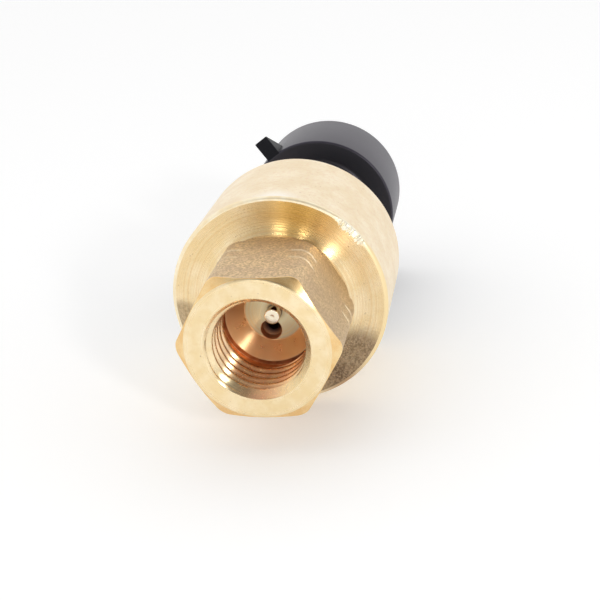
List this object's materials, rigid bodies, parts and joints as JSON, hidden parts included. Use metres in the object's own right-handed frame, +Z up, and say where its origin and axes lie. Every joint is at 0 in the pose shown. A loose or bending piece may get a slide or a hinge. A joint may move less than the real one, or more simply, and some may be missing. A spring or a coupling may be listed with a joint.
{
  "type": "pressure switch",
  "caption": "Brass pressure switch with a hexagonal female flare port, a round crimped collar and a black round sealed connector behind it.",
  "frame": {"origin": "centre of the port mouth, in the plane of the hexagon's front face", "axes": "+Y along the switch axis from the port to the connector, +Z up, square to one pair of hexagon flats"},
  "size_m": [0.025, 0.0572, 0.025],
  "materials": {
    "brass": "turned and drawn brass, satin",
    "connector_plastic": "black glass-filled moulding, satin",
    "inner_plastic": "natural moulded plastic",
    "seal_rubber": "moulded rubber",
    "diaphragm_film": "polyimide film",
    "spring_steel": "rolled stainless",
    "ceramic_pin": "ground ceramic",
    "contact_copper": "rolled copper alloy",
    "contact_silver": "silver alloy",
    "tinned_terminal": "tin plated, stamped",
    "potting_resin": "cast resin"
  },
  "bodies": {
    "housing": {"port_body": "brass", "depressor_pin": "brass", "diaphragm_seal_ring": "seal_rubber", "diaphragm": "diaphragm_film", "disc_support_ring": "spring_steel", "pin_guide": "inner_plastic", "arm_rivet": "contact_copper", "open_contact": "contact_silver", "closed_contact": "contact_silver", "common_terminal": "tinned_terminal", "open_terminal": "tinned_terminal", "closed_terminal": "tinned_terminal", "switch_base": "inner_plastic", "weather_seal_ring": "seal_rubber", "terminal_potting": "potting_resin", "crimp_washer": "spring_steel", "connector_housing": "connector_plastic"},
    "converter": {"converter_plate": "spring_steel"},
    "disc": {"snap_disc": "spring_steel"},
    "pin": {"transfer_pin": "ceramic_pin"},
    "arm": {"contact_arm": "contact_copper", "moving_contact": "contact_silver"}
  },
  "joints": [
    {"name": "disc_snap", "type": "slide", "parent": "housing", "child": "disc", "axis": [0, 1, 0], "range_m": [0, 0.0003], "stiffness_N_per_m": 200},
    {"name": "converter_travel", "type": "slide", "parent": "housing", "child": "converter", "axis": [0, 1, 0], "range_m": [0, 0.0003]},
    {"name": "pin_travel", "type": "slide", "parent": "housing", "child": "pin", "axis": [0, 1, 0], "range_m": [0, 0.0003]},
    {"name": "arm_swing", "type": "hinge", "parent": "housing", "child": "arm", "pos_m": [-0.0065, 0.02187, 0], "axis": [0, 0, 1], "range_deg": [0, 2.65]}
  ],
  "couplings": [
    {"joint": "converter_travel", "follows": "disc_snap", "ratio": 1},
    {"joint": "pin_travel", "follows": "disc_snap", "ratio": 1},
    {"joint": "arm_swing", "follows": "disc_snap", "rad_per_m": 153.85}
  ]
}
